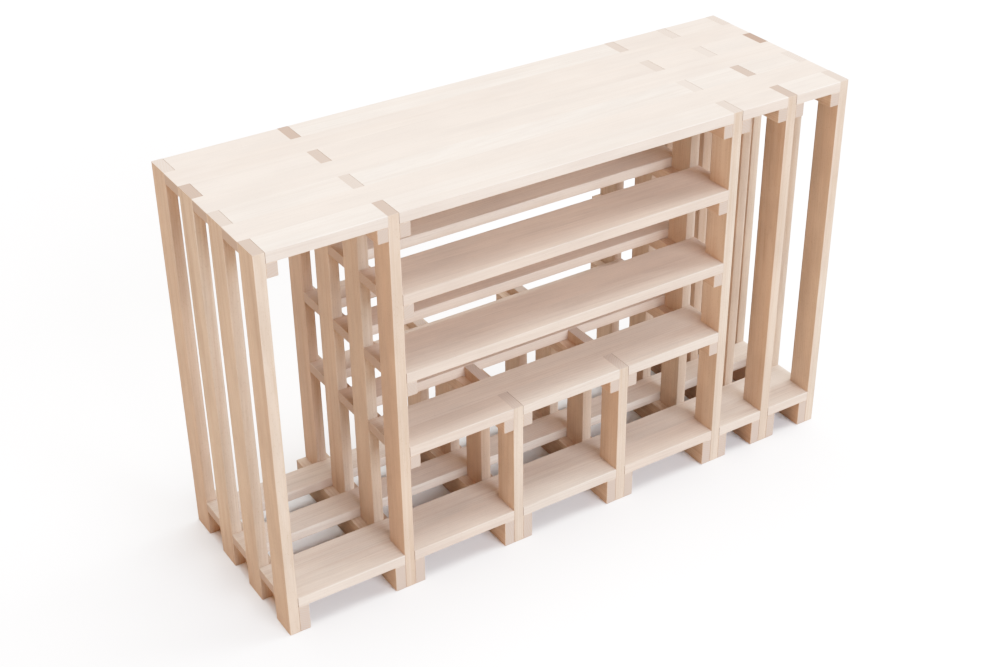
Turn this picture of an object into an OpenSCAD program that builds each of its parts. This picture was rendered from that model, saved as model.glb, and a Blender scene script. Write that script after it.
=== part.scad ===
// Slatted timber wine rack: five full-height frames and two short ones, joined by boards made of
// strips that pass between the slats, with ledgers under the boards and runners on the floor.
// Origin: centre of the footprint, at floor level. +X to the right, +Y to the back, +Z up.

/* [Overall] */
// Height from the floor to the top face
rack_h = 640; // [540:5:800]
// Depth from the front face to the back face
rack_d = 332; // [270:1:420]

/* [Timber] */
// Thickness of every slat, strip, ledger and runner
stock_t = 17; // [14:0.5:24]
// Depth of one upright slat, front to back
slat_w = 46; // [36:1:56]
// Height of a ledger under the top or a shelf
ledger_h = 22; // [17:1:30]
// Height of a floor runner
runner_h = 46; // [34:1:70]

/* [Bays] */
// Clear width of a bay or compartment that holds two bottles side by side
wide_clear = 180; // [150:1:230]
// Clear width of a column that holds one bottle
narrow_clear = 89; // [74:1:120]
// Rise from one shelf face to the next, and from shelf 1 to the top face
shelf_rise = 128; // [105:1:155]

/* [Dowels] */
// Diameter of a hidden dowel
dowel_d = 8; // [6:0.5:10]
// Depth of a dowel in the piece where it ends
dowel_bite = 12; // [9:0.5:12.5]
// Radial clearance of a dowel in its hole
dowel_fit = 0.1; // [0.05:0.05:0.2]
// Air left past the end of a dowel in its hole
dowel_end_gap = 0.5; // [0.2:0.1:1]

/* [Hidden] */
$fn = 32;

// Frames from left to right, and rows of slats from front to back.
FRAMES = ["left_end", "left_bay", "short_left", "short_right", "right_bay", "column", "right_end"];
ROWS = ["front", "midfront", "midrear", "rear"];
GAPS = ["front", "middle", "rear"];
LEFT_END = 0;
LEFT_BAY = 1;
SHORT_LEFT = 2;
SHORT_RIGHT = 3;
RIGHT_BAY = 4;
COLUMN = 5;
RIGHT_END = 6;
LEFT = -1;
RIGHT = 1;
FRONT_ROW = 0;
REAR_ROW = 3;

slat_nodes = [for (f = FRAMES) for (r = ROWS) str(f, "_slat_", r)];
top_nodes = concat([for (g = GAPS) str("top_rail_", g)], [for (r = ROWS) str("top_infill_", r)]);
shelf_nodes = [for (s = ["shelf_1", "shelf_2", "shelf_3", "base"])
    each concat([for (g = GAPS) str(s, "_rail_", g)], [str(s, "_infill_front")])];

// Widths: two-bottle bays up to the right bay frame, then two one-bottle columns.
wide_pitch = wide_clear + stock_t;
narrow_pitch = narrow_clear + stock_t;
rack_w = 4 * wide_pitch + 2 * narrow_pitch + stock_t;
frame_offsets = [0, wide_pitch, 2 * wide_pitch, 3 * wide_pitch, 4 * wide_pitch,
    4 * wide_pitch + narrow_pitch, 4 * wide_pitch + 2 * narrow_pitch];
function frame_x(f) = frame_offsets[f] - rack_w / 2;

// Depths: the slats share the depth evenly, and a rail fills each gap between two rows.
row_gap = (rack_d - 4 * slat_w) / 3;
function row_y(r) = -rack_d / 2 + r * (slat_w + row_gap);
function gap_y(g) = row_y(g) + slat_w;

// Heights of the upper faces of the boards.
shelf_z = [for (n = [1:3]) rack_h - n * shelf_rise];
base_z = runner_h + stock_t;
short_h = shelf_z[2];
function slat_h(f) = f == SHORT_LEFT || f == SHORT_RIGHT ? short_h : rack_h;

// Frames that each board meets, in order.
top_frames = [LEFT_END, LEFT_BAY, RIGHT_BAY, COLUMN, RIGHT_END];
shelf_frames = [[LEFT_BAY, RIGHT_BAY], [LEFT_BAY, RIGHT_BAY], [LEFT_BAY, SHORT_LEFT, SHORT_RIGHT, RIGHT_BAY]];
base_frames = [for (f = [LEFT_END:RIGHT_END]) f];

// Battens as [frame, side of the frame]; each level is [lower face, height, battens].
function both_sides(frames) = [for (f = frames) each [[f, LEFT], [f, RIGHT]]];
top_battens = concat([[LEFT_END, RIGHT]], both_sides([LEFT_BAY, RIGHT_BAY, COLUMN]), [[RIGHT_END, LEFT]]);
inner_battens = [[LEFT_BAY, RIGHT], [RIGHT_BAY, LEFT]];
divider_battens = concat(inner_battens, both_sides([SHORT_LEFT, SHORT_RIGHT]));
floor_battens = concat([[LEFT_END, RIGHT]], both_sides([for (f = [LEFT_BAY:COLUMN]) f]), [[RIGHT_END, LEFT]]);
function under(face_z) = face_z - stock_t - ledger_h;
top_level = [under(rack_h), ledger_h, top_battens];
shelf_levels = [
    [under(shelf_z[0]), ledger_h, inner_battens],
    [under(shelf_z[1]), ledger_h, inner_battens],
    [under(shelf_z[2]), ledger_h, divider_battens]];
floor_level = [0, runner_h, floor_battens];
levels = concat([top_level], shelf_levels, [floor_level]);

function has_batten(level, f, side) = len([for (b = level[2]) if (b == [f, side]) b]) > 0;
function is_doweled(level, f) = has_batten(level, f, LEFT) || has_batten(level, f, RIGHT);

// One dowel through frame f at a level and row: it ends in the battens, or inside the slat
// where the frame has a batten on one side only.
module dowel_rod(level, f, r, fit, end_gap) {
    slat_left = frame_x(f);
    slat_right = slat_left + stock_t;
    x0 = has_batten(level, f, LEFT) ? slat_left - dowel_bite : slat_right - dowel_bite;
    x1 = has_batten(level, f, RIGHT) ? slat_right + dowel_bite : slat_left + dowel_bite;
    translate([x0 - end_gap, row_y(r) + slat_w / 2, level[0] + level[1] / 2])
        rotate([0, 90, 0])
            cylinder(d = dowel_d + 2 * fit, h = x1 - x0 + 2 * end_gap);
}

module slat(f, r) {
    color("BurlyWood")
        difference() {
            translate([frame_x(f), row_y(r), 0])
                cube([stock_t, slat_w, slat_h(f)]);
            for (level = levels)
                if (is_doweled(level, f))
                    dowel_rod(level, f, r, dowel_fit, dowel_end_gap);
        }
}

// A continuous strip in gap g, from the outer face of one frame to that of another.
module rail(first, last, g, face_z) {
    color("Wheat")
        translate([frame_x(first), gap_y(g), face_z - stock_t])
            cube([frame_x(last) + stock_t - frame_x(first), row_gap, stock_t]);
}

// Strips in row r that fill the spaces between neighbouring frames.
module infill(frames, r, face_z) {
    color("Linen")
        for (n = [0:len(frames) - 2]) {
            start = frame_x(frames[n]) + stock_t;
            translate([start, row_y(r), face_z - stock_t])
                cube([frame_x(frames[n + 1]) - start, slat_w, stock_t]);
        }
}

// One batten of a level, front to back on one side of a frame, bored for its four dowels.
module batten(level, f, side) {
    difference() {
        translate([side == LEFT ? frame_x(f) - stock_t : frame_x(f) + stock_t, -rack_d / 2, level[0]])
            cube([stock_t, rack_d, level[1]]);
        for (r = [FRONT_ROW:REAR_ROW])
            dowel_rod(level, f, r, dowel_fit, dowel_end_gap);
    }
}

module battens(levels_here) {
    color("Tan")
        for (level = levels_here)
            for (b = level[2])
                batten(level, b[0], b[1]);
}

module hidden_dowels() {
    color("Peru")
        for (level = levels)
            for (f = [LEFT_END:RIGHT_END])
                if (is_doweled(level, f))
                    for (r = [FRONT_ROW:REAR_ROW])
                        dowel_rod(level, f, r, 0, 0);
}

// Slats
for (f = [LEFT_END:RIGHT_END])
    for (r = [FRONT_ROW:REAR_ROW])
        slat(f, r);

// Top
for (g = [0:2])
    rail(LEFT_END, RIGHT_END, g, rack_h);
for (r = [FRONT_ROW:REAR_ROW])
    infill(top_frames, r, rack_h);

// Shelves
for (s = [0:2]) {
    name = str("shelf_", s + 1);
    for (g = [0:2])
        rail(LEFT_BAY, RIGHT_BAY, g, shelf_z[s]);
    infill(shelf_frames[s], FRONT_ROW, shelf_z[s]);
}

// Base
for (g = [0:2])
    rail(LEFT_END, RIGHT_END, g, base_z);
infill(base_frames, FRONT_ROW, base_z);  // base_infill_front

// Battens and dowels
battens([top_level]);  // top_ledgers
battens(shelf_levels);  // shelf_ledgers
battens([floor_level]);  // floor_runners
hidden_dowels();
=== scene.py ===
"""Slatted timber wine rack: solid-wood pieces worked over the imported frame, on a plain studio floor."""

import math

import bmesh
import bpy
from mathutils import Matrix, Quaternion, Vector


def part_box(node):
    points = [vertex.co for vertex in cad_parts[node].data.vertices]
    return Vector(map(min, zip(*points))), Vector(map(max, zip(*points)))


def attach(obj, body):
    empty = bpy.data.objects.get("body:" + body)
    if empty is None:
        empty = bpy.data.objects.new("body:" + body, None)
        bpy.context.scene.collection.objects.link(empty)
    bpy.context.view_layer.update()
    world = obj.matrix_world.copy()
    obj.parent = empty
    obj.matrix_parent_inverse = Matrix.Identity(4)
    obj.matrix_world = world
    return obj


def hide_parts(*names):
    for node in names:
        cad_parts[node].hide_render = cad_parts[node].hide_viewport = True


bl_info = {
    "name": "Slatted Wine Rack",
    "version": (1, 0, 0),
    "blender": (4, 5, 0),
    "location": "View3D > Sidebar > Wine Rack",
    "description": "Builds a slatted timber wine rack and the studio that it stands in",
    "category": "Add Mesh",
}

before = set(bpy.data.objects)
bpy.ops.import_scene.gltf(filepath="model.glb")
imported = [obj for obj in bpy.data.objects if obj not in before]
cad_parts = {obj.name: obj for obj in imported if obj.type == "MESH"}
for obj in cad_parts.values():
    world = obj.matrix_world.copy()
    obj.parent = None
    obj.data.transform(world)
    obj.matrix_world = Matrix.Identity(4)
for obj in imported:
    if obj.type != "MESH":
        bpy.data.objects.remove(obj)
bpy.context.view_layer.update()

# Corners closer than this are one corner, and a piece may miss its node's box by no more than FIT.
SAME_SPOT = 1e-6
FIT = 5e-5

FRAMES = ("left_end", "left_bay", "short_left", "short_right", "right_bay", "column", "right_end")
ROWS = ("front", "midfront", "midrear", "rear")
GAPS = ("front", "middle", "rear")
SHELVES = ("shelf_1", "shelf_2", "shelf_3", "base")

X_AXIS = Vector((1, 0, 0))
Y_AXIS = Vector((0, 1, 0))
Z_AXIS = Vector((0, 0, 1))


# ---------------------------------------------------------------- properties


def length_property(name, description, default):
    return bpy.props.FloatProperty(
        name=name, description=description, default=default, min=0.0, subtype="DISTANCE", unit="LENGTH"
    )


def colour_property(name, description, default):
    return bpy.props.FloatVectorProperty(
        name=name, description=description, default=default, min=0.0, max=1.0, subtype="COLOR", size=3
    )


class RackWorking(bpy.types.PropertyGroup):
    """How the timber is worked after it is cut."""

    arris: length_property("Arris", "Radius of an exposed long edge", 0.001)
    end_ease: length_property("End Ease", "Chamfer round an exposed end", 0.0007)
    seam: length_property("Seam", "Ease along a glued edge that ends up flush", 0.00012)
    joint: length_property("Joint", "Gap line where a strip starts at a slat", 0.0006)
    bore_radius: length_property("Bore Radius", "Radius of a dowel's hole", 0.0041)
    bore_gap: length_property("Bore Gap", "Air past the end of a dowel in its hole", 0.0005)
    dowel_nose: length_property("Dowel Nose", "Length of the taper at a dowel's end", 0.001)


class RackFinish(bpy.types.PropertyGroup):
    """Colours of the oiled timber."""

    pale: colour_property("Pale", "Early wood of the palest timbers", (0.70, 0.545, 0.42))
    rosy: colour_property("Rosy", "Early wood of the rosiest timbers", (0.62, 0.43, 0.31))
    ring: colour_property("Ring", "Late wood in the growth rings", (0.47, 0.285, 0.175))
    streak: colour_property("Streak", "Darker streaks that run along the grain", (0.36, 0.22, 0.14))
    end_pale: colour_property("End Pale", "End grain that stayed as pale as the boards", (0.74, 0.62, 0.53))
    end_grain: colour_property("End Grain", "End grain that has taken up oil", (0.27, 0.17, 0.125))
    fleck: colour_property("Fleck", "Ray flecks", (0.36, 0.215, 0.13))
    ring_spacing: length_property("Ring Spacing", "Distance between growth rings", 0.0038)


def place_property(name, description, default):
    return bpy.props.FloatVectorProperty(
        name=name, description=description, default=default, subtype="TRANSLATION"
    )


def number_property(name, description, default):
    return bpy.props.FloatProperty(name=name, description=description, default=default, min=0.0)


class RackStudio(bpy.types.PropertyGroup):
    """Camera, floor and light."""

    camera_at: place_property("Camera", "Camera position", (-1.2243, -1.8781, 1.6539))
    camera_aim: place_property("Aim", "Point at the middle of the view", (-0.0321, 0.0, 0.2759))
    camera_roll: bpy.props.FloatProperty(
        name="Roll",
        description="Turn about the line of sight",
        default=math.radians(-0.607),
        subtype="ANGLE",
    )
    camera_lens: number_property("Lens", "Focal length in millimetres", 59.25)
    floor_size: length_property("Floor", "Side of the square floor", 80.0)
    sky: number_property("Sky", "Strength of the even light", 0.02)
    white: number_property("White", "Scene brightness that shows as white", 2.5)


# Where each soft light comes from, its spread in degrees, strength and colour.
LIGHTS = {
    "overhead_light": ((0.6, 0.5, 7.0), 50.0, 5.6, (1.0, 0.985, 0.965)),
    "front_light": ((1.2, -6.9, 3.1), 36.0, 4.3, (0.92, 0.965, 1.07)),
    "right_light": ((6.8, -0.8, 3.7), 40.0, 2.6, (0.96, 0.97, 1.0)),
    "left_light": ((-6.4, -1.4, 1.7), 30.0, 1.25, (1.0, 0.57, 0.36)),
}


# ---------------------------------------------------------------- node helpers


def socket_of(sockets, key):
    """A socket by its place, or the first one in use by its name."""
    if isinstance(key, int):
        return sockets[key]
    return next(s for s in sockets if s.name == key and s.enabled)


def put(tree, kind, feeds=None, **settings):
    """Adds a node with its settings, and feeds its inputs with values or with other nodes' outputs."""
    node = tree.nodes.new(kind)
    for name, value in settings.items():
        setattr(node, name, value)
    for key, value in (feeds or {}).items():
        feed(tree, socket_of(node.inputs, key), value)
    return node


def feed(tree, socket, value):
    if isinstance(value, bpy.types.NodeSocket):
        tree.links.new(value, socket)
    elif value is not None:
        socket.default_value = value


def calc(tree, operation, *values):
    """One Math node; returns its output."""
    return put(tree, "ShaderNodeMath", dict(enumerate(values)), operation=operation).outputs[0]


def vector_calc(tree, operation, *values):
    """One Vector Math node; returns its output in use."""
    node = put(tree, "ShaderNodeVectorMath", dict(enumerate(values)), operation=operation)
    return next(s for s in node.outputs if s.enabled)


def scaled(tree, vector, factor):
    return put(tree, "ShaderNodeVectorMath", {0: vector, "Scale": factor}, operation="SCALE").outputs[0]


def compare(tree, one, operation, two):
    node = put(tree, "FunctionNodeCompare", {"A": one, "B": two}, data_type="FLOAT", operation=operation)
    return node.outputs[0]


def new_input(tree, name, kind, default=None):
    socket = tree.interface.new_socket(name, in_out="INPUT", socket_type=kind)
    if default is not None:
        socket.default_value = default


# ---------------------------------------------------------------- geometry nodes


def add_grain(tree, geometry, lines, inputs):
    """Stores where each timber lay in its log (grain), its tone, its end faces and its eased faces."""
    position = put(tree, "GeometryNodeInputPosition").outputs[0]
    nearest = put(tree, "GeometryNodeProximity", {"Geometry": lines}, target_element="EDGES")
    across = vector_calc(tree, "SUBTRACT", position, nearest.outputs["Position"])
    island = put(tree, "GeometryNodeInputMeshIsland").outputs["Island Index"]

    def chance(low, high, step):
        """A number for each timber; step keeps one draw apart from another."""
        seed = put(tree, "FunctionNodeIntegerMath", {0: inputs["Seed"], 1: step}, operation="ADD")
        node = put(
            tree,
            "FunctionNodeRandomValue",
            {"Min": low, "Max": high, "ID": island, "Seed": seed.outputs[0]},
            data_type="FLOAT",
        )
        return socket_of(node.outputs, "Value")

    along = vector_calc(tree, "DOT_PRODUCT", position, inputs["Grain Axis"])
    in_section = put(
        tree,
        "ShaderNodeCombineXYZ",
        {
            "X": vector_calc(tree, "DOT_PRODUCT", across, inputs["Width Axis"]),
            "Y": vector_calc(tree, "DOT_PRODUCT", across, inputs["Thickness Axis"]),
        },
    ).outputs[0]
    turned = put(
        tree,
        "ShaderNodeVectorRotate",
        {"Vector": in_section, "Angle": chance(0.0, 2 * math.pi, 101)},
        rotation_type="Z_AXIS",
    ).outputs[0]
    run_out = calc(tree, "MULTIPLY", along, chance(-0.035, 0.035, 211))
    in_log = put(
        tree,
        "ShaderNodeCombineXYZ",
        {
            "X": calc(tree, "ADD", chance(0.045, 0.15, 307), run_out),
            "Z": calc(tree, "ADD", along, chance(0.0, 20.0, 401)),
        },
    ).outputs[0]
    grain = vector_calc(tree, "ADD", turned, in_log)

    normal = put(tree, "GeometryNodeInputNormal").outputs[0]
    faces_along = calc(tree, "ABSOLUTE", vector_calc(tree, "DOT_PRODUCT", normal, inputs["Grain Axis"]))
    end_face = compare(tree, faces_along, "GREATER_THAN", 0.9)
    parts = put(tree, "ShaderNodeSeparateXYZ", {0: vector_calc(tree, "ABSOLUTE", normal)}).outputs
    squareness = calc(tree, "MAXIMUM", calc(tree, "MAXIMUM", parts["X"], parts["Y"]), parts["Z"])
    eased = compare(tree, squareness, "LESS_THAN", 0.98)
    leans = calc(tree, "GREATER_THAN", faces_along, 0.3)
    # Joint faces: the beech shader paints them near-black, partly as a glue line and partly as painted
    # shade in the gap at a strip's start.
    joint = calc(tree, "MULTIPLY", calc(tree, "MULTIPLY", eased, leans), inputs["Joint"])
    geometry = put(
        tree, "GeometryNodeSetShadeSmooth", {"Geometry": geometry, "Shade Smooth": eased}, domain="FACE"
    ).outputs[0]
    stored = (
        ("grain", "FLOAT_VECTOR", "POINT", grain),
        ("tone", "FLOAT", "FACE", chance(0.0, 1.0, 503)),
        ("end_face", "FLOAT", "FACE", end_face),
        ("eased", "FLOAT", "FACE", eased),
        ("joint", "FLOAT", "FACE", joint),
        ("end_tone", "FLOAT", "FACE", inputs["End Tone"]),
    )
    for name, data_type, domain, value in stored:
        geometry = put(
            tree,
            "GeometryNodeStoreNamedAttribute",
            {"Geometry": geometry, "Name": name, "Value": value},
            data_type=data_type,
            domain=domain,
        ).outputs[0]
    return geometry


def finish_tree(tree, geometry, inputs):
    """Ends a tree: makes what it placed real, and gives it its material."""
    realized = put(tree, "GeometryNodeRealizeInstances", {"Geometry": geometry}).outputs[0]
    feeds = {"Geometry": realized, "Material": inputs["Material"]}
    dressed = put(tree, "GeometryNodeSetMaterial", feeds).outputs[0]
    tree.interface.new_socket("Geometry", in_out="OUTPUT", socket_type="NodeSocketGeometry")
    put(tree, "NodeGroupOutput", {0: dressed})
    return tree


GRAIN_INPUTS = (
    ("Grain Axis", "NodeSocketVector", tuple(Z_AXIS)),
    ("Width Axis", "NodeSocketVector", tuple(Y_AXIS)),
    ("Thickness Axis", "NodeSocketVector", tuple(X_AXIS)),
    ("End Tone", "NodeSocketFloat", 0.5),
    ("Joint", "NodeSocketFloat", 0.0),
    ("Seed", "NodeSocketInt", 1),
    ("Material", "NodeSocketMaterial", None),
)


def start_tree(name, own_inputs):
    """A new geometry tree with its own inputs and the grain's; returns it and its inputs' sockets."""
    tree = bpy.data.node_groups.new(name, "GeometryNodeTree")
    tree.is_modifier = True
    new_input(tree, "Geometry", "NodeSocketGeometry")
    for socket_name, kind, default in own_inputs + GRAIN_INPUTS:
        new_input(tree, socket_name, kind, default)
    inputs = put(tree, "NodeGroupInput").outputs
    return tree, inputs


def timber_tree():
    """Sweeps an eased rectangular section along each centre line, and bores it along each bore line."""
    tree, inputs = start_tree(
        "Timbers On Lines",
        (
            ("Section Width", "NodeSocketFloat", 0.046),
            ("Section Thickness", "NodeSocketFloat", 0.017),
            ("Low Arris", "NodeSocketFloat", 0.001),
            ("High Arris", "NodeSocketFloat", 0.001),
            ("Start Ease", "NodeSocketFloat", 0.0005),
            ("End Ease", "NodeSocketFloat", 0.0005),
            ("Bore Radius", "NodeSocketFloat", 0.004),
        ),
    )
    is_bore = put(tree, "GeometryNodeInputNamedAttribute", {"Name": "bore"}, data_type="BOOLEAN")
    split = put(
        tree,
        "GeometryNodeSeparateGeometry",
        {"Geometry": inputs["Geometry"], "Selection": socket_of(is_bore.outputs, "Attribute")},
        domain="EDGE",
    )
    bore_lines, centre_lines = split.outputs["Selection"], split.outputs["Inverted"]

    section = put(
        tree,
        "GeometryNodeCurvePrimitiveQuadrilateral",
        {"Width": inputs["Section Width"], "Height": inputs["Section Thickness"]},
        mode="RECTANGLE",
    ).outputs[0]
    corner = put(tree, "GeometryNodeInputPosition").outputs[0]
    corner_side = put(tree, "ShaderNodeSeparateXYZ", {0: corner}).outputs["X"]
    on_high_side = compare(tree, corner_side, "GREATER_THAN", 0.0)
    radius = put(
        tree,
        "GeometryNodeSwitch",
        {"Switch": on_high_side, "False": inputs["Low Arris"], "True": inputs["High Arris"]},
        input_type="FLOAT",
    )
    rounded = put(
        tree,
        "GeometryNodeFilletCurve",
        {"Curve": section, "Count": 3, "Radius": socket_of(radius.outputs, "Output")},
        mode="POLY",
    ).outputs[0]

    path = put(tree, "GeometryNodeMeshToCurve", {"Mesh": centre_lines}).outputs[0]
    path = put(
        tree, "GeometryNodeSetCurveNormal", {"Curve": path, "Normal": inputs["Width Axis"]}, mode="FREE"
    ).outputs[0]
    capture = tree.nodes.new("GeometryNodeCaptureAttribute")
    capture.domain = "POINT"
    for name, start, end in (("Start", 1, 0), ("End", 0, 1)):
        capture.capture_items.new("FLOAT", name)
        chosen = put(tree, "GeometryNodeCurveEndpointSelection", {"Start Size": start, "End Size": end})
        feed(tree, capture.inputs[name], chosen.outputs[0])
    feed(tree, capture.inputs["Geometry"], path)
    swept = put(
        tree,
        "GeometryNodeCurveToMesh",
        {"Curve": capture.outputs["Geometry"], "Profile Curve": rounded, "Fill Caps": True},
    ).outputs[0]

    position = put(tree, "GeometryNodeInputPosition").outputs[0]
    nearest = put(tree, "GeometryNodeProximity", {"Geometry": centre_lines}, target_element="EDGES")
    outward = vector_calc(tree, "SUBTRACT", position, nearest.outputs["Position"])
    section_axes = vector_calc(
        tree,
        "ADD",
        vector_calc(tree, "ABSOLUTE", inputs["Width Axis"]),
        vector_calc(tree, "ABSOLUTE", inputs["Thickness Axis"]),
    )
    direction = vector_calc(tree, "MULTIPLY", vector_calc(tree, "SIGN", outward), section_axes)
    ease = calc(
        tree,
        "ADD",
        calc(tree, "MULTIPLY", capture.outputs["Start"], inputs["Start Ease"]),
        calc(tree, "MULTIPLY", capture.outputs["End"], inputs["End Ease"]),
    )
    inward = scaled(tree, direction, calc(tree, "MULTIPLY", ease, -1.0))
    eased = put(tree, "GeometryNodeSetPosition", {"Geometry": swept, "Offset": inward}).outputs[0]
    close = {"Geometry": eased, "Distance": 2 * SAME_SPOT}
    clean = put(tree, "GeometryNodeMergeByDistance", close).outputs[0]

    drill = put(
        tree,
        "GeometryNodeCurvePrimitiveCircle",
        {"Resolution": 20, "Radius": inputs["Bore Radius"]},
        mode="RADIUS",
    ).outputs[0]
    bits = put(
        tree,
        "GeometryNodeCurveToMesh",
        {
            "Curve": put(tree, "GeometryNodeMeshToCurve", {"Mesh": bore_lines}).outputs[0],
            "Profile Curve": drill,
            "Fill Caps": True,
        },
    ).outputs[0]
    bored = put(tree, "GeometryNodeMeshBoolean", {"Mesh 1": clean, "Mesh 2": bits}, operation="DIFFERENCE")
    return finish_tree(tree, add_grain(tree, bored.outputs[0], centre_lines, inputs), inputs)


def dowel_tree():
    """Sweeps a fluted round section along each line, narrower at both ends."""
    tree, inputs = start_tree(
        "Dowels On Lines",
        (
            ("Radius", "NodeSocketFloat", 0.004),
            ("Flute Depth", "NodeSocketFloat", 0.0002),
            ("Flutes", "NodeSocketInt", 12),
            ("Nose", "NodeSocketFloat", 0.75),
        ),
    )
    lines = inputs["Geometry"]
    section = put(
        tree,
        "GeometryNodeCurveStar",
        {
            "Points": inputs["Flutes"],
            "Inner Radius": calc(tree, "SUBTRACT", inputs["Radius"], inputs["Flute Depth"]),
            "Outer Radius": inputs["Radius"],
        },
    ).outputs[0]
    path = put(tree, "GeometryNodeMeshToCurve", {"Mesh": lines}).outputs[0]
    at_nose = put(tree, "GeometryNodeCurveEndpointSelection", {"Start Size": 1, "End Size": 1}).outputs[0]
    path = put(tree, "GeometryNodeSetCurveRadius", {"Curve": path, "Radius": 1.0}).outputs[0]
    path = put(
        tree, "GeometryNodeSetCurveRadius", {"Curve": path, "Selection": at_nose, "Radius": inputs["Nose"]}
    ).outputs[0]
    radius = put(tree, "GeometryNodeInputRadius").outputs[0]
    swept = put(
        tree,
        "GeometryNodeCurveToMesh",
        {"Curve": path, "Profile Curve": section, "Scale": radius, "Fill Caps": True},
    ).outputs[0]
    return finish_tree(tree, add_grain(tree, swept, lines, inputs), inputs)


def made_by_tree(name, lines, tree, values):
    """Runs a geometry tree over setting-out lines and returns the result as a plain object."""
    helper = bpy.data.objects.new(name + "_lines", lines)
    bpy.context.scene.collection.objects.link(helper)
    modifier = helper.modifiers.new("Make", "NODES")
    modifier.node_group = tree
    named = {s.name: s.identifier for s in tree.interface.items_tree if s.in_out == "INPUT"}
    for input_name, value in values.items():
        modifier[named[input_name]] = value
    evaluated = helper.evaluated_get(bpy.context.evaluated_depsgraph_get())
    mesh = bpy.data.meshes.new_from_object(evaluated)
    bpy.data.objects.remove(helper)
    bpy.data.meshes.remove(lines)
    mesh.name = name
    mesh.materials.clear()
    mesh.materials.append(values["Material"])
    mesh.polygons.foreach_set("material_index", [0] * len(mesh.polygons))
    piece = bpy.data.objects.new(name, mesh)
    bpy.context.scene.collection.objects.link(piece)
    return piece


# ---------------------------------------------------------------- setting out


def solids_of(node):
    """The boxes of a CAD node's separate solids, as (low corner, high corner)."""
    mesh = bmesh.new()
    mesh.from_mesh(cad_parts[node].data)
    bmesh.ops.remove_doubles(mesh, verts=mesh.verts, dist=SAME_SPOT)
    boxes, left = [], set(mesh.verts)
    while left:
        island, waiting = set(), [left.pop()]
        while waiting:
            vertex = waiting.pop()
            island.add(vertex)
            near = {e.other_vert(vertex) for e in vertex.link_edges} & left
            left -= near
            waiting.extend(near)
        spots = [v.co for v in island]
        low = Vector([min(s[i] for s in spots) for i in range(3)])
        high = Vector([max(s[i] for s in spots) for i in range(3)])
        boxes.append((low, high))
    mesh.free()
    return sorted(boxes, key=lambda box: tuple(round(c, 5) for c in box[0]))


def line_mesh(name, runs, bores=()):
    """A mesh of open lines: the centre lines of timbers, and bore lines marked apart from them."""
    mesh = bpy.data.meshes.new(name + "_lines")
    spots, edges, marks = [], [], []
    for points, mark in [(r, False) for r in runs] + [(b, True) for b in bores]:
        first = len(spots)
        spots.extend(points)
        edges.extend((first + i, first + i + 1) for i in range(len(points) - 1))
        marks.extend([mark] * (len(points) - 1))
    mesh.from_pydata([tuple(p) for p in spots], edges, [])
    mesh.attributes.new("bore", "BOOLEAN", "EDGE").data.foreach_set("value", marks)
    return mesh


def eased_line(low, high, axis, start_ease, end_ease):
    """The centre line of a box along an axis, with a point where each end's chamfer stops."""
    middle = (low + high) / 2
    start = middle + axis * (low - middle).dot(axis)
    end = middle + axis * (high - middle).dot(axis)
    return [start, start + axis * start_ease, end - axis * end_ease, end]


def overlaps(a, b):
    return all(a[0][i] < b[1][i] and b[0][i] < a[1][i] for i in range(3))


DOWELS = solids_of("hidden_dowels")


def bores_in(box, gap):
    """Bore lines through a box, one for each dowel that enters it."""
    lines = []
    for low, high in DOWELS:
        if overlaps((low, high), box):
            middle = (low + high) / 2
            half = (high.x - low.x) / 2 + gap
            lines.append([middle - X_AXIS * half, middle + X_AXIS * half])
    return lines


TREES = {}


def tree_named(name, maker):
    """A node tree that is made once and then shared."""
    if name not in TREES:
        TREES[name] = maker()
    return TREES[name]


def seed_of(node):
    return 1 + sorted(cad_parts).index(node)


def timber(node, axes, wood, arrises, eases, end_tone=0.5, joint=0.0):
    """Makes the eased and bored timbers that stand for one CAD node.

    axes are the directions of the grain, the width and the thickness. arrises are the radii of the
    long edges at the low and high side of the width, and eases the chamfers at the start and the end.
    """
    working = bpy.context.scene.rack_working
    grain_axis, width_axis, thickness_axis = axes
    low_arris, high_arris = arrises
    start_ease, end_ease = eases
    boxes = solids_of(node)
    size = boxes[0][1] - boxes[0][0]
    runs = [eased_line(low, high, grain_axis, start_ease, end_ease) for low, high in boxes]
    bores = []
    for box in boxes:
        for line in bores_in(box, working.bore_gap):
            if line not in bores:
                bores.append(line)
    values = {
        "Section Width": abs(size.dot(width_axis)),
        "Section Thickness": abs(size.dot(thickness_axis)),
        "Low Arris": low_arris,
        "High Arris": high_arris,
        "Start Ease": start_ease,
        "End Ease": end_ease,
        "Bore Radius": working.bore_radius,
        "Grain Axis": tuple(grain_axis),
        "Width Axis": tuple(width_axis),
        "Thickness Axis": tuple(thickness_axis),
        "End Tone": end_tone,
        "Joint": joint,
        "Seed": seed_of(node),
        "Material": wood_material(wood),
    }
    lines = line_mesh(node, runs, bores)
    piece = made_by_tree(node + "_timber", lines, tree_named("timber", timber_tree), values)
    check_fit(piece, node)
    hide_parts(node)
    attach(piece, "root")


def check_fit(piece, node):
    """Stops the build if a piece doesn't fill its CAD node's box."""
    low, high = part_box(node)
    spots = [v.co for v in piece.data.vertices]
    for axis in range(3):
        places = [spot[axis] for spot in spots]
        miss = max(abs(min(places) - low[axis]), abs(max(places) - high[axis]))
        if miss > FIT:
            raise RuntimeError(f"{piece.name} misses its node's box by {miss * 1000:.2f} mm on axis {axis}")


# ---------------------------------------------------------------- materials


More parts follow.
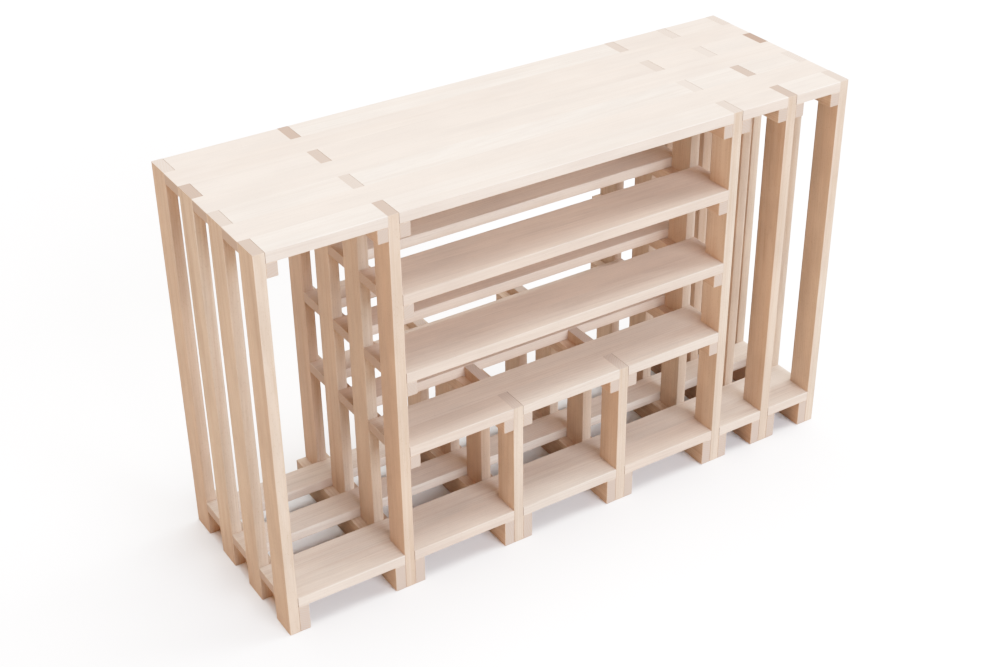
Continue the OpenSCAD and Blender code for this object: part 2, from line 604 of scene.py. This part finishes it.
def beech_group():
    """Pale beech from a timber's place in its log: growth rings, fibres, ray flecks and end grain."""
    tree = bpy.data.node_groups.new("Beech", "ShaderNodeTree")
    for name in ("Pale", "Rosy", "Ring", "Streak", "End Pale", "End Grain", "Fleck"):
        new_input(tree, name, "NodeSocketColor")
    for name in ("Ring Spacing", "Ring Strength", "Streaks", "Paleness"):
        new_input(tree, name, "NodeSocketFloat")
    tree.interface.new_socket("Color", in_out="OUTPUT", socket_type="NodeSocketColor")
    tree.interface.new_socket("Roughness", in_out="OUTPUT", socket_type="NodeSocketFloat")
    tree.interface.new_socket("Height", in_out="OUTPUT", socket_type="NodeSocketFloat")
    inputs = put(tree, "NodeGroupInput").outputs

    def attribute(name, output):
        node = put(tree, "ShaderNodeAttribute", attribute_name=name, attribute_type="GEOMETRY")
        return node.outputs[output]

    def stretched(vector, across, along):
        return vector_calc(tree, "MULTIPLY", vector, (across, across, along))

    def noise(vector, detail, roughness=0.5):
        return put(
            tree,
            "ShaderNodeTexNoise",
            {"Vector": vector, "Scale": 1.0, "Detail": detail, "Roughness": roughness},
            noise_dimensions="3D",
        )

    def ramp(value, low, high, to_low=0.0, to_high=1.0):
        return put(
            tree,
            "ShaderNodeMapRange",
            {"Value": value, "From Min": low, "From Max": high, "To Min": to_low, "To Max": to_high},
            interpolation_type="SMOOTHSTEP",
        ).outputs[0]

    def blend(factor, one, two):
        node = put(tree, "ShaderNodeMix", {"Factor": factor, "A": one, "B": two}, data_type="RGBA")
        return socket_of(node.outputs, "Result")

    def times(one, two):
        return calc(tree, "MULTIPLY", one, two)

    grain = attribute("grain", "Vector")
    tone = attribute("tone", "Fac")
    end_face = attribute("end_face", "Fac")
    end_tone = attribute("end_tone", "Fac")
    eased = attribute("eased", "Fac")
    joint = attribute("joint", "Fac")

    # Growth rings: the distance from the pith, which sways along the log, in ring spacings.
    wander = noise(stretched(grain, 16.0, 2.2), 2.0).outputs["Color"]
    sway = vector_calc(tree, "SUBTRACT", wander, (0.5, 0.5, 0.5))
    swayed = vector_calc(tree, "ADD", grain, scaled(tree, sway, 0.016))
    from_pith = vector_calc(tree, "LENGTH", vector_calc(tree, "MULTIPLY", swayed, (1.0, 1.0, 0.0)))
    uneven = noise(stretched(grain, 90.0, 1.5), 1.0).outputs["Fac"]
    rings = calc(tree, "DIVIDE", from_pith, inputs["Ring Spacing"])
    phase = calc(tree, "FRACT", calc(tree, "ADD", rings, times(uneven, 1.1)))
    late = times(ramp(phase, 0.1, 0.75), ramp(phase, 1.0, 0.75))
    ring_mask = times(late, inputs["Ring Strength"])

    # Long soft marks along the grain, from fine fibres to broad clouds.
    fibre = noise(stretched(grain, 900.0, 9.0), 3.0, 0.6).outputs["Fac"]
    cloud = noise(stretched(grain, 34.0, 3.5), 3.0).outputs["Fac"]
    band = noise(stretched(grain, 120.0, 1.1), 2.0).outputs["Fac"]
    streak = noise(stretched(grain, 380.0, 3.2), 4.0, 0.65).outputs["Fac"]
    blotch = noise(stretched(grain, 22.0, 7.0), 4.0, 0.6).outputs["Fac"]

    # Short ray flecks, which the end grain hasn't.
    flecks = put(tree, "ShaderNodeTexVoronoi", {"Vector": stretched(grain, 640.0, 190.0), "Scale": 1.0})
    fleck_chance = put(tree, "ShaderNodeSeparateColor", {0: flecks.outputs["Color"]}).outputs[0]
    fleck_mask = times(ramp(flecks.outputs["Distance"], 0.34, 0.12), ramp(fleck_chance, 0.45, 0.5))
    side_fleck = times(times(fleck_mask, 0.42), calc(tree, "SUBTRACT", 1.0, end_face))

    side = blend(ramp(tone, 0.0, 1.0), inputs["Pale"], inputs["Rosy"])
    side = blend(times(ramp(cloud, 0.42, 0.72), 0.45), side, inputs["Rosy"])
    side = blend(times(ramp(band, 0.45, 0.75), 0.38), side, inputs["Ring"])
    side = blend(ring_mask, side, inputs["Ring"])
    side = blend(times(ramp(streak, 0.5, 0.78), inputs["Streaks"]), side, inputs["Streak"])
    side = blend(side_fleck, side, inputs["Fleck"])
    shade = times(ramp(fibre, 0.25, 0.75, 0.93, 1.05), ramp(blotch, 0.3, 0.7, 0.88, 1.07))
    side = scaled(tree, side, shade)

    pores = put(tree, "ShaderNodeTexVoronoi", {"Vector": stretched(grain, 2600.0, 2600.0), "Scale": 1.0})
    pore_mask = ramp(pores.outputs["Distance"], 0.3, 0.1)
    end = blend(end_tone, inputs["End Pale"], inputs["End Grain"])
    end = blend(times(late, 0.3), end, inputs["Ring"])
    end = blend(times(pore_mask, 0.25), end, inputs["Fleck"])

    # Paleness lifts a timber toward pale cream; on the eased edge faces the extra 0.05 is a painted
    # highlight along the rounded arrises.
    paleness = calc(tree, "ADD", inputs["Paleness"], times(eased, 0.05))
    side = blend(paleness, side, (0.95, 0.88, 0.82, 1.0))
    colour = blend(end_face, side, end)
    # Joint faces are painted near-black: partly a dark glue line, partly painted shade in the gap where a
    # strip meets a slat.
    colour = blend(times(joint, 0.85), colour, (0.10, 0.055, 0.035, 1.0))

    rough = calc(tree, "ADD", ramp(fibre, 0.3, 0.7, 0.5, 0.6), times(end_face, 0.12))
    rough = calc(tree, "SUBTRACT", rough, times(late, 0.05))
    relief = calc(tree, "ADD", times(fibre, 0.5), times(late, 0.3))
    height = calc(tree, "SUBTRACT", relief, times(fleck_mask, 0.4))
    put(tree, "NodeGroupOutput", {"Color": colour, "Roughness": rough, "Height": height})
    return tree


# Ring strength, streak strength and paleness of each kind of timber.
WOODS = {
    "slat_wood": (0.13, 0.22, 0.0),
    # The top is the boards' own wood painted paler still: its extra paleness over board_wood is a painted
    # sheen from the strong light on top.
    "top_wood_painted_sheen": (0.20, 0.45, 0.32),
    "board_wood": (0.24, 0.60, 0.22),
    "batten_wood": (0.25, 0.35, 0.0),
    "dowel_wood": (0.3, 0.2, 0.0),
}


def wood_material(wood):
    """The oiled beech of one kind of timber, made once and then shared."""
    name = "beech_" + wood
    if name in bpy.data.materials:
        return bpy.data.materials[name]
    finish = bpy.context.scene.rack_finish
    ring_strength, streaks, paleness = WOODS[wood]
    material = bpy.data.materials.new(name)
    material.use_nodes = True
    tree = material.node_tree
    tree.nodes.clear()
    feeds = {
        "Pale": (*finish.pale, 1.0),
        "Rosy": (*finish.rosy, 1.0),
        "Ring": (*finish.ring, 1.0),
        "Streak": (*finish.streak, 1.0),
        "End Pale": (*finish.end_pale, 1.0),
        "End Grain": (*finish.end_grain, 1.0),
        "Fleck": (*finish.fleck, 1.0),
        "Ring Spacing": finish.ring_spacing,
        "Ring Strength": ring_strength,
        "Streaks": streaks,
        "Paleness": paleness,
    }
    beech = tree.nodes.new("ShaderNodeGroup")
    beech.node_tree = tree_named("beech", beech_group)
    for name, value in feeds.items():
        beech.inputs[name].default_value = value
    relief = {"Height": beech.outputs["Height"], "Strength": 0.35, "Distance": 0.0002}
    bump = put(tree, "ShaderNodeBump", relief)
    shader = put(
        tree,
        "ShaderNodeBsdfPrincipled",
        {
            "Base Color": beech.outputs["Color"],
            "Roughness": beech.outputs["Roughness"],
            "Normal": bump.outputs[0],
            "Specular IOR Level": 0.4,
        },
    )
    put(tree, "ShaderNodeOutputMaterial", {"Surface": shader.outputs[0]})
    return material


def floor_material():
    """White where it is seen, with a weaker and warmer bounce onto the timber."""
    material = bpy.data.materials.new("studio_floor")
    material.use_nodes = True
    tree = material.node_tree
    tree.nodes.clear()
    seen = put(tree, "ShaderNodeBsdfDiffuse", {"Color": (0.97, 0.97, 0.97, 1.0)})
    bounce = put(tree, "ShaderNodeBsdfDiffuse", {"Color": (0.56, 0.47, 0.39, 1.0)})
    is_seen = put(tree, "ShaderNodeLightPath").outputs["Is Camera Ray"]
    shader = put(tree, "ShaderNodeMixShader", {0: is_seen, 1: bounce.outputs[0], 2: seen.outputs[0]})
    put(tree, "ShaderNodeOutputMaterial", {"Surface": shader.outputs[0]})
    return material


# ---------------------------------------------------------------- operators

# Directions of the grain, the width and the thickness.
UPRIGHT = (Z_AXIS, Y_AXIS, X_AXIS)
LENGTHWISE = (X_AXIS, Y_AXIS, Z_AXIS)
CROSSWISE = (Y_AXIS, Z_AXIS, X_AXIS)

# How strongly each slat's end grain stands out from the board round it, front row first.
END_TONES = {
    "left_end": (0.68, 0.42, 0.80, 0.38),
    "left_bay": (0.72, 0.42, 0.64, 0.82),
    "short_left": (0.40, 0.40, 0.45, 0.40),
    "short_right": (0.34, 0.45, 0.40, 0.45),
    "right_bay": (0.38, 0.20, 0.38, 0.48),
    "column": (0.74, 0.70, 0.22, 0.32),
    "right_end": (0.38, 0.24, 0.97, 0.34),
}


class RACK_OT_slats(bpy.types.Operator):
    """Upright slats, four to a frame"""

    bl_idname = "rack.slats"
    bl_label = "Slats"

    def execute(self, context):
        working = context.scene.rack_working
        for name in FRAMES:
            for row, end_tone in zip(ROWS, END_TONES[name]):
                timber(
                    f"{name}_slat_{row}",
                    UPRIGHT,
                    "slat_wood",
                    (working.arris, working.arris),
                    (working.end_ease, working.seam),
                    end_tone,
                )
        return {"FINISHED"}


def board(name, eased_sides, wood):
    """The strips of one board, with whether the front and back edge of each is exposed."""
    working = bpy.context.scene.rack_working
    radius = {True: working.arris, False: working.seam}
    for strip, (front, back) in eased_sides.items():
        between_slats = "infill" in strip
        eases = (working.joint, working.seam) if between_slats else (working.end_ease, working.end_ease)
        timber(
            f"{name}_{strip}",
            LENGTHWISE,
            wood,
            (radius[front], radius[back]),
            eases,
            joint=float(between_slats),
        )


class RACK_OT_top(bpy.types.Operator):
    """Closed top: three long strips and the short strips between the slats"""

    bl_idname = "rack.top"
    bl_label = "Top"

    def execute(self, context):
        sides = {f"rail_{gap}": (False, False) for gap in GAPS}
        sides.update({f"infill_{row}": (row == "front", row == "rear") for row in ROWS})
        # The top's timber is painted paler than the shelf boards, a painted sheen.
        board("top", sides, "top_wood_painted_sheen")
        return {"FINISHED"}


class RACK_OT_shelves(bpy.types.Operator):
    """Three shelves and the base, open behind their front strips along each row of slats"""

    bl_idname = "rack.shelves"
    bl_label = "Shelves and Base"

    def execute(self, context):
        sides = {
            "rail_front": (False, True),
            "rail_middle": (True, True),
            "rail_rear": (True, True),
            "infill_front": (True, False),
        }
        for shelf in SHELVES:
            board(shelf, sides, "board_wood")
        return {"FINISHED"}


class RACK_OT_battens(bpy.types.Operator):
    """Ledgers under the boards and runners on the floor"""

    bl_idname = "rack.battens"
    bl_label = "Ledgers and Runners"

    def execute(self, context):
        working = context.scene.rack_working
        for node in ("top_ledgers", "shelf_ledgers", "floor_runners"):
            timber(
                node,
                CROSSWISE,
                "batten_wood",
                (working.arris, working.seam),
                (working.end_ease, working.end_ease),
            )
        return {"FINISHED"}


class RACK_OT_dowels(bpy.types.Operator):
    """Fluted dowels hidden in the battens and slats"""

    bl_idname = "rack.dowels"
    bl_label = "Dowels"

    def execute(self, context):
        node = "hidden_dowels"
        nose = context.scene.rack_working.dowel_nose
        runs = [eased_line(low, high, X_AXIS, nose, nose) for low, high in DOWELS]
        values = {
            "Radius": (DOWELS[0][1].z - DOWELS[0][0].z) / 2,
            "Grain Axis": tuple(X_AXIS),
            "Width Axis": tuple(Y_AXIS),
            "Thickness Axis": tuple(Z_AXIS),
            "Seed": seed_of(node),
            "Material": wood_material("dowel_wood"),
        }
        lines = line_mesh(node, runs)
        piece = made_by_tree("fluted_dowels", lines, tree_named("dowel", dowel_tree), values)
        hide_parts(node)
        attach(piece, "root")
        return {"FINISHED"}


def add_light(name, source, spread, strength, colour):
    """A soft distant light that shines from source towards the rack."""
    data = bpy.data.lights.new(name, "SUN")
    data.angle = math.radians(spread)
    data.energy = strength
    data.color = colour
    light = bpy.data.objects.new(name, data)
    light.location = source
    light.rotation_euler = (-Vector(source)).to_track_quat("-Z", "Y").to_euler()
    bpy.context.scene.collection.objects.link(light)


def plain_world(sky, white):
    """Even light of strength sky, which shows as plain white behind the floor."""
    world = bpy.data.worlds.new("studio")
    world.use_nodes = True
    tree = world.node_tree
    background = tree.nodes["Background"]
    background.inputs["Color"].default_value = (1.0, 1.0, 1.0, 1.0)
    is_seen = put(tree, "ShaderNodeLightPath").outputs["Is Camera Ray"]
    strength = put(tree, "ShaderNodeMapRange", {"Value": is_seen, "To Min": sky, "To Max": white})
    feed(tree, background.inputs["Strength"], strength.outputs[0])
    return world


def soften_highlights(view, white):
    """Gives the view a film-like response, which pales bright colours before they reach white."""
    view.view_transform = "Standard"
    view.use_curve_mapping = True
    mapping = view.curve_mapping
    mapping.white_level = (white, white, white)
    curve = mapping.curves[3]  # the combined curve, after red, green and blue
    steps = 8
    for i in range(1, steps):
        x = i / steps
        curve.points.new(x, (1 - math.exp(-white * x)) / (1 - math.exp(-white)))
    mapping.update()


class RACK_OT_stage(bpy.types.Operator):
    """Camera, floor and soft studio light"""

    bl_idname = "rack.stage"
    bl_label = "Stage"

    def execute(self, context):
        scene = context.scene
        studio = scene.rack_studio
        camera = bpy.data.objects.new("camera", bpy.data.cameras.new("camera"))
        camera.data.lens = studio.camera_lens
        camera.location = studio.camera_at
        sight = Vector(studio.camera_aim) - Vector(studio.camera_at)
        camera.rotation_mode = "QUATERNION"
        camera.rotation_quaternion = sight.to_track_quat("-Z", "Y") @ Quaternion(Z_AXIS, studio.camera_roll)
        scene.collection.objects.link(camera)
        scene.camera = camera

        half = studio.floor_size / 2
        corners = [(-half, -half, 0), (half, -half, 0), (half, half, 0), (-half, half, 0)]
        mesh = bpy.data.meshes.new("studio_floor")
        mesh.from_pydata(corners, [], [(0, 1, 2, 3)])
        mesh.materials.append(floor_material())
        floor = bpy.data.objects.new("studio_floor", mesh)
        scene.collection.objects.link(floor)

        scene.world = plain_world(studio.sky, studio.white)
        for name, (source, spread, strength, colour) in LIGHTS.items():
            add_light(name, source, spread, strength, colour)
        soften_highlights(scene.view_settings, studio.white)
        return {"FINISHED"}


class RACK_PT_panel(bpy.types.Panel):
    """Sidebar panel that lists the steps"""

    bl_idname = "RACK_PT_panel"
    bl_label = "Wine Rack"
    bl_space_type = "VIEW_3D"
    bl_region_type = "UI"
    bl_category = "Wine Rack"

    def draw(self, context):
        for group in (context.scene.rack_working, context.scene.rack_finish, context.scene.rack_studio):
            box = self.layout.box()
            for name in group.bl_rna.properties.keys():
                if name not in {"rna_type", "name"}:
                    box.prop(group, name)
        for step in STEPS:
            self.layout.operator(step.bl_idname)


STEPS = (RACK_OT_stage, RACK_OT_slats, RACK_OT_top, RACK_OT_shelves, RACK_OT_battens, RACK_OT_dowels)
GROUPS = {"rack_working": RackWorking, "rack_finish": RackFinish, "rack_studio": RackStudio}
CLASSES = (*GROUPS.values(), *STEPS, RACK_PT_panel)


def register():
    for cls in CLASSES:
        bpy.utils.register_class(cls)
    for name, group in GROUPS.items():
        setattr(bpy.types.Scene, name, bpy.props.PointerProperty(type=group))


def unregister():
    for name in GROUPS:
        delattr(bpy.types.Scene, name)
    for cls in reversed(CLASSES):
        bpy.utils.unregister_class(cls)


def main():
    register()
    bpy.ops.rack.stage()
    bpy.ops.rack.slats()
    bpy.ops.rack.top()
    bpy.ops.rack.shelves()
    bpy.ops.rack.battens()
    bpy.ops.rack.dowels()


if __name__ == "__main__":
    main()
